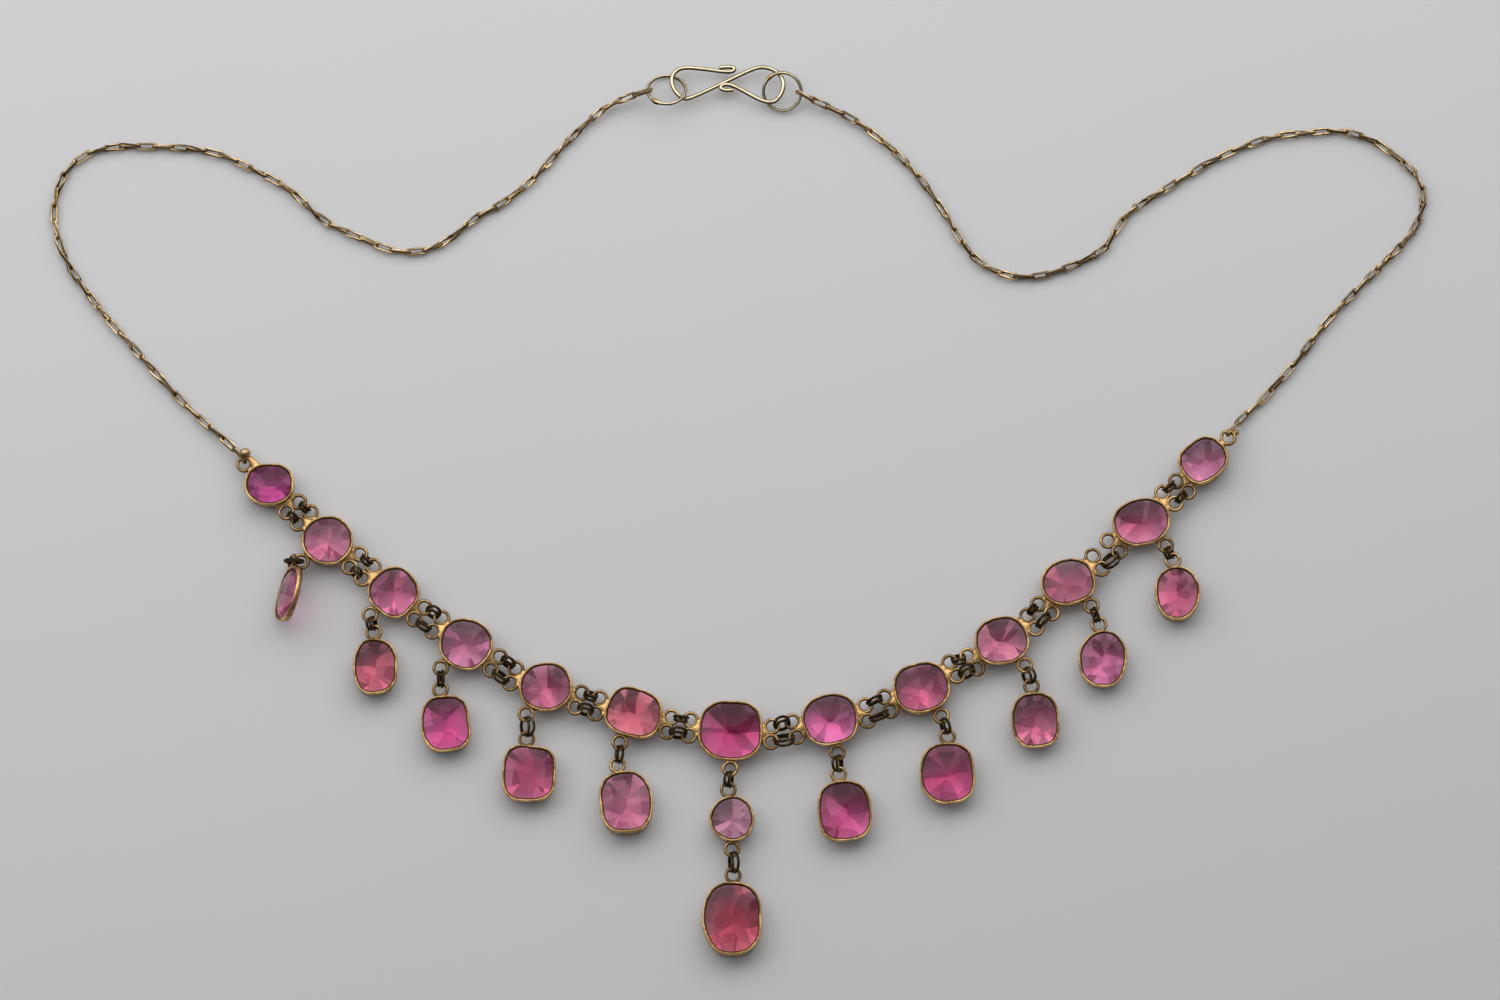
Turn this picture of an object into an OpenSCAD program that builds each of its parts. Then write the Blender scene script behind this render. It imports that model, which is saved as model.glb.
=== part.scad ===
/* [View] */
// Slant of the view in which the places below were measured, in degrees off the vertical
slant = 10; // [0:1:12]

/* [Stones] */
// Height of a stone's crown above the middle of its girdle
crown_h = 0.95; // [0.6:0.05:1.1]
// Depth of a stone's pavilion below the middle of its girdle
pavilion_h = 2; // [1.8:0.05:2.3]
// Thickness of a stone's girdle
girdle_t = 0.1; // [0.06:0.02:0.14]
// Table's width as a share of the stone's
table_share = 0.6; // [0.5:0.02:0.7]
// Flat culet's width as a share of the stone's
culet_share = 0.24; // [0.15:0.01:0.35]
// Room between the edge of a stone and the inside of its wall
seat = 0.2; // [0.16:0.02:0.22]

/* [Settings] */
// How far the rim's top stands above the stone's girdle
rim_up = 0.4; // [0.36:0.02:0.6]
// How far the wall reaches below the stone's girdle
wall_down = 1; // [0.9:0.05:1.2]
// How far the wall's outside stands out from the stone's visible outline
wall_out = 0.45; // [0.42:0.01:0.57]
// How far the rim hides the edge of the stone
rim_over = 0.06; // [0.04:0.02:0.08]
// Thickness of the rim where it is rubbed over the stone
rim_t = 0.14; // [0.1:0.02:0.16]
// Sides of a setting's wall
wall_sides = 24; // [16:8:32]

/* [Lugs and jump rings] */
// Wire of a lug
lug_wire = 0.32; // [0.26:0.02:0.34]
// Outer width of a lug
lug_w = 1.8; // [1.7:0.05:1.85]
// Radius of the solder that joins a lug to its setting
solder_r = 0.24; // [0.2:0.02:0.3]
// Lug's centre beyond the visible outline of a stone in the row
row_reach = 1.35; // [1.25:0.05:1.4]
// Lug's centre beyond the visible outline of a drop's stone
drop_reach = 1.2; // [1.15:0.05:1.25]
// Wire of a jump ring
ring_wire = 0.3; // [0.24:0.02:0.3]
// Least radius of a jump ring, to the middle of its wire
ring_least = 0.75; // [0.74:0.01:0.8]
// How far a jump ring's wire passes inside the middle of a lug
ring_in = 0.24; // [0.2:0.02:0.28]
// Height of the lugs on the left of the stones in the row and on the drops
lug_low = 1.4; // [1.35:0.05:1.45]
// Height of the lugs on the right of the stones in the row and under them
lug_high = 1.8; // [1.75:0.05:1.85]

/* [Chain] */
// Wire of a chain link
link_wire = 0.24; // [0.22:0.01:0.25]
// Outer length of a link
link_len = 2.72; // [2.68:0.01:2.74]
// Outer width of a link
link_w = 1.14; // [1.1:0.01:1.15]
// Links in the left chain
left_links = 63; // [63:1:63]
// Links in the right chain
right_links = 67; // [67:1:67]

/* [Clasp] */
// Wire of the S hook
hook_wire = 0.5; // [0.4:0.02:0.5]
// Height of the hook's middle above the surface
hook_z = 1.3; // [1.28:0.01:1.32]
// Wire of the two clasp rings
eye_wire = 0.38; // [0.3:0.02:0.38]
// Outer width of a clasp ring
eye_w = 4.98; // [4.9:0.02:5]

/* [Hidden] */
ROUND = 48;
CUT_SIDES = 16;
HOOK_SIDES = 10;
// most that a jump ring rolls from upright, and about the most that a link does, in degrees
ROLL = 14;
WANDER = 14;
// links over which a chain turns to its clasp ring
TWIST_LINKS = 4;

// x, y, width, height, squareness, turn, lean, the way it leans
ROW = [
    [-56.5,   2.9, 5.2, 4.5, 2.4,   0, 5, 135],
    [-49.4,  -3.8, 5.4, 5.3, 2.05,  0, 3,  90],
    [-41.5, -10.0, 5.3, 5.3, 2.5,  45, 3, -90],
    [-32.9, -16.2, 5.8, 5.5, 2.2, -20, 0,   0],
    [-23.2, -21.3, 5.7, 5.3, 2.15,  5, 1, 120],
    [-12.8, -24.4, 6.0, 5.3, 3,   -18, 1, 150],
    [ -1.1, -26.5, 7.0, 6.7, 2.9,  -3, 0,   0],
    [ 10.8, -25.2, 6.2, 5.6, 2.9,  12, 2, -90],
    [ 21.8, -21.4, 6.3, 5.5, 2.6,  14, 4,  80],
    [ 31.4, -15.8, 5.9, 5.2, 2.4,  12, 1,  90],
    [ 39.4,  -8.8, 6.1, 5.0, 2.4,  14, 2,  90],
    [ 48.2,  -1.6, 6.5, 5.2, 2.3,  14, 1,  60],
    [ 55.6,   5.8, 5.5, 4.6, 2.8,  38, 3, 130],
];

// directions of the lugs round each stone: upper left, lower left, upper right, lower right, bottom
// the chain's own lug stands first on the first stone and third on the last one
ROW_LUGS = [
    [ 140, undef, -29,  -60, undef],
    [ 119,   150, -21,  -52, -141],
    [ 126,   157, -25,  -54, -136],
    [ 130,   159, -19,  -47, -136],
    [ 146,   174,  -8,  -36, -126],
    [ 154,   181,  -5,  -31, -115],
    [ 163,   187,   7,  -17,  -91],
    [ 181,   208,  24,   -3,  -78],
    [ 191,   217,  44,   18,  -55],
    [ 202,   229,  46,   19,  -47],
    [ 214,   243,  49,   21,  -46],
    [ 207,   234,  56,   28,  -44],
    [ 215,   245,  43, undef, undef],
];

// x, y, width, height, squareness, turn, lean, the way it leans, direction of the lug
DROPS = [
    [-54.4, -10.2, 5.0, 6.1, 2.3, -13, 58, 167, 97],
    [-43.8, -18.9, 4.6, 6.3, 2.5,   0,  2,  90, 93],
    [-35.3, -25.7, 5.2, 6.1, 3,     6,  1,  90, 99],
    [-25.4, -31.6, 5.8, 6.2, 3.4,  -3,  1, 180, 94],
    [-13.6, -35.0, 5.6, 7.0, 2.7,   6,  5,  90, 103],
    [ -0.9, -48.8, 6.3, 8.3, 2.5,   1,  4,  90, 89],
    [ 12.5, -36.1, 5.6, 6.7, 2.9,   5,  2, -90, 99],
    [ 24.8, -31.6, 5.8, 6.8, 2.7,   3,  1, -90, 90],
    [ 35.3, -25.3, 4.9, 6.1, 2.6,   4,  2, -90, 96],
    [ 43.4, -18.0, 5.0, 6.3, 2.15, -6,  1,  90, 96],
    [ 52.4, -10.1, 4.7, 6.0, 2.1,   1,  3,  90, 97],
];
// each drop hangs from the next stone of the row, the long middle one from the small round stone
MIDDLE_DROP = 5;
TURNED_DROP = 0;

// the small round stone between the middle of the row and the long drop: its row, then its two lugs
ROUND_STONE = [-1.0, -37.0, 4.4, 4.6, 2, 0, 1, 90];
ROUND_LUGS = [97, -90];

// the jump ring of the drop turned on its edge: x, y, z of its middle, direction, radius
TURNED_RING = [-53.4, -6.35, 2.25, 179, 1.06];

// the upper jump ring is missing after this stone of the row
LOST_RING_AFTER = 10;

// the middle of the whole piece, which goes to x = 0, y = 0
CENTRE_X = -0.15;
CENTRE_Y = -0.24;

// routes of the chains, from the end stone's lug to the clasp: x, y, height of the chain's middle
LEFT_ROUTE = [
    [-59.45, 5.6, 1.4], [-60.7, 7.2, 1.0], [-64.8, 10.6, 0.57], [-69.0, 14.8, 0.57],
    [-73.2, 19.6, 0.57], [-76.2, 22.8, 0.57], [-78.2, 25.5, 0.57], [-80.2, 28.1, 0.57],
    [-81.6, 30.7, 0.57], [-82.6, 33.9, 0.57], [-82.6, 37.0, 0.57], [-81.8, 39.6, 0.57],
    [-80.6, 41.4, 0.57], [-78.5, 42.9, 0.57], [-75.4, 43.6, 0.57], [-71.9, 43.6, 0.57],
    [-68.4, 43.5, 0.57], [-65.3, 43.2, 0.57], [-62.4, 42.6, 0.57], [-60.5, 41.7, 0.57],
    [-55.9, 39.4, 0.57], [-53.3, 37.6, 0.57], [-50.7, 34.9, 0.57], [-49.0, 33.9, 0.57],
    [-45.2, 32.3, 0.57], [-42.1, 30.9, 0.57], [-38.4, 30.7, 0.57], [-34.9, 32.2, 0.57],
    [-32.2, 34.8, 0.57], [-28.6, 36.6, 0.57], [-25.1, 39.4, 0.57], [-22.4, 42.4, 0.57],
    [-19.8, 45.2, 0.57], [-17.2, 47.6, 0.8], [-15.1, 49.0, 1.2], [-10.8, 50.4, 1.9],
];
RIGHT_ROUTE = [
    [58.6, 8.9, 1.9], [59.5, 9.9, 1.2], [60.5, 11.0, 0.57], [62.0, 12.2, 0.57],
    [64.8, 15.2, 0.57], [67.4, 18.2, 0.57], [68.9, 20.3, 0.57], [71.1, 23.0, 0.57],
    [73.8, 25.8, 0.57], [76.6, 28.6, 0.57], [79.2, 31.2, 0.57], [80.5, 32.5, 0.57],
    [81.6, 34.2, 0.57], [82.2, 35.9, 0.57], [82.4, 37.5, 0.57], [82.05, 39.2, 0.57],
    [81.0, 40.8, 0.57], [79.4, 42.1, 0.57], [77.2, 43.8, 0.57], [75.2, 44.7, 0.57],
    [73.3, 45.4, 0.57], [71.2, 45.5, 0.57], [67.2, 45.1, 0.57], [64.7, 44.9, 0.57],
    [60.7, 43.6, 0.57], [57.2, 42.0, 0.57], [53.6, 39.9, 0.57], [50.3, 37.8, 0.57],
    [46.9, 35.8, 0.57], [45.2, 33.5, 0.57], [44.2, 31.4, 0.57], [42.5, 30.2, 0.57],
    [39.0, 28.7, 0.57], [35.3, 27.6, 0.57], [31.4, 28.0, 0.57], [28.3, 29.8, 0.57],
    [26.2, 32.9, 0.57], [24.2, 36.2, 0.57], [22.1, 39.2, 0.57], [19.8, 41.9, 0.57],
    [17.0, 44.4, 0.57], [13.9, 46.8, 0.7], [10.1, 48.6, 0.9], [7.0, 50.1, 1.5],
];

// the hook's path: x, y
HOOK_PATH = [
    [-2.4, 53.1], [-1.4, 53.4], [-0.7, 53.1], [-1.1, 52.6], [-4.0, 53.0], [-7.0, 53.2],
    [-8.1, 52.4], [-8.3, 51.3], [-7.8, 50.1], [-6.8, 49.3], [-5.9, 49.4], [-1.9, 51.3],
    [1.6, 53.0], [2.8, 53.2], [4.0, 52.9], [5.0, 52.1], [5.3, 51.0], [5.0, 49.9],
    [4.3, 49.0], [3.4, 48.9], [2.3, 49.2], [-0.6, 50.8], [-1.6, 51.0], [-2.4, 50.6],
    [-1.9, 50.1], [-0.8, 50.3],
];

// x, y, z, tilt, the way its high side looks
EYES = [
    [-8.9, 50.4, 1.72, 41, 270],
    [ 5.1, 50.2, 1.27, 20, 70],
];

PINKS = ["mediumorchid", "palevioletred", "hotpink", "plum", "orchid", "indianred", "mediumvioletred"];

// a place on the surface, or z above it, from the place where the slanting view shows it
function laid(x, y, z) = [x - CENTRE_X, (y - z * sin(slant)) / cos(slant) - CENTRE_Y, z];
// distance from a stone's middle to its outline, grown by out, in direction a
function reach(row, out, a) =
    let (c = abs(cos(a - row[5])), s = abs(sin(a - row[5])))
    let (w = row[2] / 2 + out, h = row[3] / 2 + out)
    1 / pow(pow(c / w, row[4]) + pow(s / h, row[4]), 1 / row[4]);
function edge(row, out, sides, share, z) = [
    for (i = [0 : sides - 1])
        let (a = 360 * i / sides, r = share * reach(row, out, a))
        [r * cos(a), r * sin(a), z]
];
// height of a leaning stone's girdle when its lowest point touches the surface
function girdle_z(row) =
    let (half = reach(row, 0, row[7]), lean = row[6])
    let (culet = pavilion_h * cos(lean) + culet_share * half * sin(lean))
    let (wall = wall_down * cos(lean) + (half + wall_out) * sin(lean))
    max(culet, wall);
function middle(row) =
    let (z = girdle_z(row))
    let (seen = laid(row[0], row[1], z + rim_up))
    [seen.x, seen.y, z];

// v turned by angle a about the unit axis k
function turned(v, k, a) = v * cos(a) + cross(k, v) * sin(a) + k * (k * v) * (1 - cos(a));
function leaned(row, v) = middle(row) + turned(v, [-sin(row[7]), cos(row[7]), 0], row[6]);

// a lug's middle, out from the stone in direction a, at the height it has above the surface once leaned
function lug_local(row, a, out, height) =
    let (r = reach(row, 0, a) + out)
    let (down = r * cos(a - row[7]) * sin(row[6]))
    [r * cos(a), r * sin(a), (height - girdle_z(row) + down) / cos(row[6])];
function row_lug(i, k) = lug_local(ROW[i], ROW_LUGS[i][k], row_reach, k < 2 ? lug_low : lug_high);
function row_lug_place(i, k) = leaned(ROW[i], row_lug(i, k));
function drop_lug(i) =
    let (r = reach(DROPS[i], drop_reach, DROPS[i][8]))
    i == TURNED_DROP
        ? [r * cos(DROPS[i][8]), r * sin(DROPS[i][8]), 0]
        : lug_local(DROPS[i], DROPS[i][8], drop_reach, lug_low);
function drop_lug_place(i) = leaned(DROPS[i], drop_lug(i));
function round_lug(k) = lug_local(ROUND_STONE, ROUND_LUGS[k], drop_reach, k == 0 ? lug_low : lug_high);
function round_lug_place(k) = leaned(ROUND_STONE, round_lug(k));

module placed(row) {
    translate(middle(row))
        rotate(a = row[6], v = [-sin(row[7]), cos(row[7]), 0])
            children();
}

// a ring of round wire, in the XY plane
module wire_ring(r, wire) {
    rotate_extrude($fn = ROUND)
        translate([r, 0])
            circle(d = wire, $fn = ROUND);
}

// a cut stone: table, 24 crown facets, girdle, 24 pavilion facets and a flat culet
module cut_stone(row) {
    n = CUT_SIDES;
    h = n / 2;
    table = [for (i = [0 : 2 : n - 1]) edge(row, 0, n, table_share, crown_h)[i]];
    top = edge(row, rim_over, n, 1, girdle_t / 2);
    low = edge(row, rim_over, n, 1, -girdle_t / 2);
    culet = [for (i = [0 : 2 : n - 1]) edge(row, 0, n, culet_share, -pavilion_h)[i]];
    t = h;
    g = h + n;
    c = h + 2 * n;
    polyhedron(
        points = concat(table, top, low, culet),
        faces = concat(
            [[for (i = [h - 1 : -1 : 0]) i]],
            [for (i = [0 : h - 1]) [i, (i + 1) % h, t + 2 * i + 1]],
            [for (i = [0 : h - 1]) [i, t + 2 * i + 1, t + 2 * i]],
            [for (i = [0 : h - 1]) [i, t + 2 * i, t + (2 * i + n - 1) % n]],
            [for (i = [0 : n - 1]) [t + i, t + (i + 1) % n, g + (i + 1) % n, g + i]],
            [for (i = [0 : h - 1]) [c + (i + 1) % h, c + i, g + 2 * i + 1]],
            [for (i = [0 : h - 1]) [c + i, g + 2 * i, g + 2 * i + 1]],
            [for (i = [0 : h - 1]) [c + i, g + (2 * i + n - 1) % n, g + 2 * i]],
            [[for (i = [0 : h - 1]) c + i]]
        )
    );
}

// the open-backed wall round a stone, with its rim rubbed over the stone's edge
module wall(row) {
    // how far out from the visible outline, and how high
    inside = rim_over + seat;
    profile = [
        [0, rim_up],
        [wall_out - rim_t / 2, rim_up - rim_t / 4],
        [wall_out, rim_up - 2 * rim_t],
        [wall_out, -wall_down],
        [inside, -wall_down],
        [inside, rim_up - 1.5 * rim_t],
        [0, rim_up - rim_t],
    ];
    m = len(profile);
    n = wall_sides;
    rings = [for (p = profile) edge(row, p[0], n, 1, p[1])];
    polyhedron(
        points = [for (i = [0 : n - 1]) for (j = [0 : m - 1]) rings[j][i]],
        faces = [
            for (i = [0 : n - 1]) for (j = [0 : m - 1])
                let (i2 = (i + 1) % n, j2 = (j + 1) % m)
                [i * m + j, i2 * m + j, i2 * m + j2, i * m + j2]
        ]
    );
}

// a lug with its solder, which runs from the lug's wire into the wall
module lug(row, at) {
    r = (lug_w - lug_wire) / 2;
    a = atan2(at.y, at.x);
    inside = reach(row, wall_out - 0.05, a);
    translate(at)
        wire_ring(r, lug_wire);
    translate([0, 0, at.z])
        rotate([0, 0, a])
            translate([inside, 0, 0])
                rotate([0, 90, 0])
                    cylinder(r = solder_r, h = norm([at.x, at.y]) - r - inside, $fn = ROUND);
}

module row_stone(i) {
    color(PINKS[i % len(PINKS)])
        placed(ROW[i])
            cut_stone(ROW[i]);
}

module row_setting(i) {
    color("goldenrod")
        placed(ROW[i]) {
            wall(ROW[i]);
            for (k = [0 : 4])
                if (!is_undef(ROW_LUGS[i][k]))
                    lug(ROW[i], row_lug(i, k));
        }
}

module drop_stone(i) {
    color(PINKS[(i + 3) % len(PINKS)])
        placed(DROPS[i])
            cut_stone(DROPS[i]);
}

module drop_setting(i) {
    color("goldenrod")
        placed(DROPS[i]) {
            wall(DROPS[i]);
            lug(DROPS[i], drop_lug(i));
        }
}

module round_stone() {
    color("thistle")
        placed(ROUND_STONE)
            cut_stone(ROUND_STONE);
}

module round_setting() {
    color("goldenrod")
        placed(ROUND_STONE) {
            wall(ROUND_STONE);
            for (k = [0, 1])
                lug(ROUND_STONE, round_lug(k));
        }
}

// a jump ring through two lugs with middles a and b, rolled about the line between them
// a wide ring is rolled further, so that it stays above the surface
module jump_ring(a, b, roll) {
    d = b - a;
    r = max(ring_least, norm(d) / 2 - ring_in);
    room = (a.z + b.z) / 2 - 0.6 * ring_wire;
    least = acos(min(1, room / r));
    translate((a + b) / 2)
        rotate([90 + sign(roll) * max(abs(roll), least), -atan2(d.z, norm([d.x, d.y])), atan2(d.y, d.x)])
            wire_ring(r, ring_wire);
}

module row_rings() {
    color("saddlebrown")
        for (i = [0 : len(ROW) - 2])
            for (k = [0, 1])
                if (!(i == LOST_RING_AFTER && k == 0)) {
                    roll = ROLL * sin(97 * i + 160 * k + 40);
                    jump_ring(row_lug_place(i, 2 + k), row_lug_place(i + 1, k), roll);
                }
}

module drop_rings() {
    color("saddlebrown") {
        for (i = [0 : len(DROPS) - 1])
            if (i != MIDDLE_DROP && i != TURNED_DROP)
                jump_ring(row_lug_place(i + 1, 4), drop_lug_place(i), ROLL * sin(77 * i + 30));
        jump_ring(row_lug_place(MIDDLE_DROP + 1, 4), round_lug_place(0), ROLL / 2);
        jump_ring(round_lug_place(1), drop_lug_place(MIDDLE_DROP), -ROLL / 2);
        translate(laid(TURNED_RING[0], TURNED_RING[1], TURNED_RING[2]))
            rotate([90, 0, TURNED_RING[3]])
                wire_ring(TURNED_RING[4], ring_wire);
    }
}

// a link in the XY plane, along X
module link() {
    r = (link_w - link_wire) / 2;
    s = (link_len - link_w) / 2;
    for (way = [0, 180])
        rotate([0, 0, way])
            translate([s, 0, 0])
                rotate([0, 0, -90])
                    rotate_extrude(angle = 180, $fn = ROUND)
                        translate([r, 0])
                            circle(d = link_wire, $fn = ROUND);
    for (side = [-r, r])
        translate([0, side, 0])
            rotate([0, 90, 0])
                cylinder(d = link_wire, h = 2 * s, center = true, $fn = ROUND);
}

// lengths along a route, and the point at length s of it
function steps(route) = [for (i = [1 : len(route) - 1]) norm(route[i] - route[i - 1])];
function total(list, n) = n == 0 ? 0 : list[n - 1] + total(list, n - 1);
function along(route, parts, s, i = 0) =
    s <= parts[i] || i == len(parts) - 1
        ? route[i] + (route[i + 1] - route[i]) * s / parts[i]
        : along(route, parts, s - parts[i], i + 1);

// links end to end along a route, each turned about a quarter from the last, with a hand-made wander
// the last few turn further, by twist in all, to pass through the clasp ring
module chain(route, links, twist) {
    path = softened([for (p = route) laid(p.x, p.y, p.z)]);
    parts = steps(path);
    pitch = total(parts, len(parts)) / links;
    for (i = [0 : links - 1]) {
        a = along(path, parts, i * pitch);
        b = along(path, parts, (i + 1) * pitch);
        d = b - a;
        wander = WANDER * sin(67 * i) + WANDER / 2 * sin(151 * i);
        end_turn = twist * max(0, i + 1 + TWIST_LINKS - links) / TWIST_LINKS;
        translate((a + b) / 2)
            rotate([90 + 90 * (i % 2) + wander + end_turn, -atan2(d.z, norm([d.x, d.y])), atan2(d.y, d.x)])
                link();
    }
}

module chain_left() {
    color("darkgoldenrod")
        chain(LEFT_ROUTE, left_links, -38);
}

module chain_right() {
    color("darkgoldenrod")
        chain(RIGHT_ROUTE, right_links, -24);
}

// cuts the corners of a path once, which leaves its ends in place
function softened(path) = concat(
    [path[0]],
    [for (i = [1 : len(path) - 2]) each [path[i - 1] + 3 * path[i], 3 * path[i] + path[i + 1]] / 4],
    [path[len(path) - 1]]
);

// the S hook: one bent wire, swept level along its path
module hook() {
    path = softened([for (p = HOOK_PATH) laid(p[0], p[1], hook_z)]);
    n = len(path);
    m = HOOK_SIDES;
    color("gold")
        polyhedron(
            points = [
                for (i = [0 : n - 1])
                    let (d = path[min(i + 1, n - 1)] - path[max(i - 1, 0)], across = [-d.y, d.x, 0] / norm(d))
                    for (j = [0 : m - 1])
                        let (a = 360 * j / m)
                        path[i] + hook_wire / 2 * (cos(a) * across + [0, 0, sin(a)])
            ],
            faces = concat(
                [[for (j = [0 : m - 1]) j]],
                [
                    for (i = [0 : n - 2]) for (j = [0 : m - 1])
                        let (j2 = (j + 1) % m)
                        [i * m + j, (i + 1) * m + j, (i + 1) * m + j2, i * m + j2]
                ],
                [[for (j = [m - 1 : -1 : 0]) (n - 1) * m + j]]
            )
        );
}

module eye(row) {
    at = laid(row[0], row[1], row[2]);
    color("khaki")
        translate(at)
            rotate(a = row[3], v = [sin(row[4]), -cos(row[4]), 0])
                wire_ring((eye_w - eye_wire) / 2, eye_wire);
}

for (i = [0 : len(ROW) - 1]) {
    row_stone(i);
    row_setting(i);
}
for (i = [0 : len(DROPS) - 1]) {
    drop_stone(i);
    drop_setting(i);
}
round_stone();
round_setting();
row_rings();
drop_rings();
chain_left();
chain_right();
hook();
eye(EYES[0]);  // eye_left
eye(EYES[1]);  // eye_right
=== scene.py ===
# A fringe necklace laid flat: pink stones in open gold settings, trace chains and an S hook
import math
import random
from collections import namedtuple

import bmesh
import bpy
from mathutils import Matrix, Vector


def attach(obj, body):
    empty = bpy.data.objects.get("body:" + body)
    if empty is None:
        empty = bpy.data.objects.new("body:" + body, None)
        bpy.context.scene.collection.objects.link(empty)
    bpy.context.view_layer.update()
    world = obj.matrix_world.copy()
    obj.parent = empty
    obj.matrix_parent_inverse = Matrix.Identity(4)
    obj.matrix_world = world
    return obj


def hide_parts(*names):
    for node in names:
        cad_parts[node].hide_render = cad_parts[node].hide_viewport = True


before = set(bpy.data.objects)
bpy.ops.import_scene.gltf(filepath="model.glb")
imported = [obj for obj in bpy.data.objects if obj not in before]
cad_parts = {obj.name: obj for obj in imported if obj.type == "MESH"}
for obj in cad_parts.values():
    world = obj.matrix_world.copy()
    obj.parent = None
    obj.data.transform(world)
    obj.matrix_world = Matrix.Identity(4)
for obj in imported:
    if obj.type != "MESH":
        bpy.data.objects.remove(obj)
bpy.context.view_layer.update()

# Sizes are in millimetres, each of which is this many metres of the scene
MM = 0.001
# Slant of the view in which the places below were measured, in degrees off the vertical. North is the
# side of the clasp, south that of the drops
SLANT = 10
# The middle of the whole piece, which goes to x = 0, y = 0
CENTRE_X = -0.15
CENTRE_Y = -0.24

# Stones
CROWN_H = 0.95
PAVILION_H = 2.0
GIRDLE_T = 0.1
# The culet's width as a share of the stone's, and how far the girdle goes in under the rim
CULET_SHARE = 0.24
GIRDLE_OUT = 0.16
# Three and five waves in each outline: their height as a share, and their turn with the stone's place
THREE_HIGH = 0.010
THREE_TURN = 97
FIVE_HIGH = 0.007
FIVE_TURN = 61

# Settings
RIM_UP = 0.4
WALL_DOWN = 1.0
WALL_OUT = 0.45
WALL_STEPS = 112

# Lugs and jump rings
LUG_WIRE = 0.41
LUG_W = 2.04
LUG_R = (LUG_W - LUG_WIRE) / 2
# How far out from a stone's outline the middles of its lugs are
SIDE_REACH = 1.5
BOTTOM_REACH = 1.35
DROP_REACH = 1.25
# Lugs side by side close up by this share of the angle between them
PAIR_CLOSER = 0.05
LUG_LOW = 1.4
LUG_HIGH = 1.8
RING_WIRE = 0.44
# The least radius of a jump ring, and how much less it is than half the way between its lugs
RING_LEAST = 0.68
RING_IN = 0.36
# The most that a ring is rolled, in degrees
RING_ROLL = 36

# Chain
LINK_WIRE = 0.28
LINK_DEPTH = 0.44
LINK_LEN = 2.62
LINK_W = 0.9
# How far a link's ends may be twisted and how far the links' roll wanders, in degrees
LINK_TWIST = 46
WANDER = 14
LEFT_LINKS = 63
RIGHT_LINKS = 67
# How many links turn to meet the clasp ring, and by how many degrees in all
TWIST_LINKS = 4
LEFT_TWIST = -8
RIGHT_TWIST = -24

# Clasp
HOOK_WIRE = 0.5
HOOK_Z = 1.3
EYE_WIRE = 0.38
EYE_W = 4.98

Stone = namedtuple("Stone", "x y width height squareness turn lean lean_way")
ROW = [Stone(*row) for row in (
    (-56.4, 2.9, 5.15, 4.4, 2.3, 0, 5, 135),
    (-49.4, -3.8, 5.4, 5.2, 2.05, 0, 3, 90),
    (-41.45, -10.0, 5.1, 5.1, 2.5, 45, 3, -90),
    (-32.8, -16.2, 5.6, 5.4, 2.2, -20, 0, 0),
    (-23.2, -21.3, 5.6, 5.15, 2.15, 5, 1, 120),
    (-12.7, -24.4, 6.0, 5.15, 2.7, -18, 1, 150),
    (-1.1, -26.5, 6.9, 6.45, 2.6, -3, 0, 0),
    (10.8, -25.2, 5.95, 5.4, 2.4, 12, 2, -90),
    (21.7, -21.4, 6.0, 5.35, 2.4, 14, 4, 80),
    (31.3, -15.8, 5.75, 5.05, 2.3, 12, 1, 90),
    (39.3, -8.8, 5.75, 4.8, 2.3, 14, 2, 90),
    (48.1, -1.6, 6.2, 4.95, 2.2, 14, 1, 60),
    (55.55, 5.8, 5.15, 4.35, 2.6, 38, 3, 130),
)]

# Directions of the lugs round each stone: upper left, lower left, upper right, lower right, bottom
ROW_LUGS = (
    (140, None, -29, -60, None),
    (119, 150, -21, -52, -141),
    (126, 157, -25, -54, -136),
    (130, 159, -19, -47, -136),
    (146, 174, -8, -36, -126),
    (154, 181, -5, -31, -115),
    (163, 187, 7, -17, -91),
    (181, 208, 24, -3, -78),
    (191, 217, 44, 18, -55),
    (202, 229, 46, 19, -47),
    (214, 243, 49, 21, -46),
    (207, 234, 56, 28, -44),
    (215, 245, 43, None, None),
)
LEFT_LUGS = 2
BOTTOM_LUG = 4

DROPS = [Stone(*row) for row in (
    (-54.0, -10.2, 5.1, 6.1, 2.3, -13, 66, 167),
    (-43.6, -18.9, 4.5, 6.0, 2.5, 0, 2, 90),
    (-35.15, -25.7, 5.1, 6.0, 2.9, 6, 1, 90),
    (-25.2, -31.6, 5.65, 6.0, 3.2, -3, 1, 180),
    (-13.6, -35.0, 5.55, 6.75, 2.6, 6, 5, 90),
    (-0.9, -48.8, 6.3, 8.1, 2.45, 1, 4, 90),
    (12.5, -36.1, 5.65, 6.5, 2.8, 5, 2, -90),
    (24.8, -31.6, 5.8, 6.55, 2.6, 3, 1, -90),
    (35.3, -25.3, 5.0, 5.9, 2.6, 4, 2, -90),
    (43.4, -18.0, 5.0, 6.15, 2.15, -6, 1, 90),
    (52.35, -10.1, 4.65, 5.8, 2.1, 1, 3, 90),
)]
DROP_LUGS = (97, 93, 99, 94, 103, 89, 99, 90, 96, 96, 97)
MIDDLE_DROP = 5
TURNED_DROP = 0
ROUND_STONE = Stone(-0.95, -37.0, 4.6, 4.75, 2, 0, 1, 90)
ROUND_LUGS = (97, -90)
# The jump ring of the drop turned on its edge: x, y, z of its middle, direction, radius
TURNED_RING = (-53.4, -6.35, 2.25, 179, 1.06)
# The upper jump ring is missing after this stone of the row
LOST_RING_AFTER = 10

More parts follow.
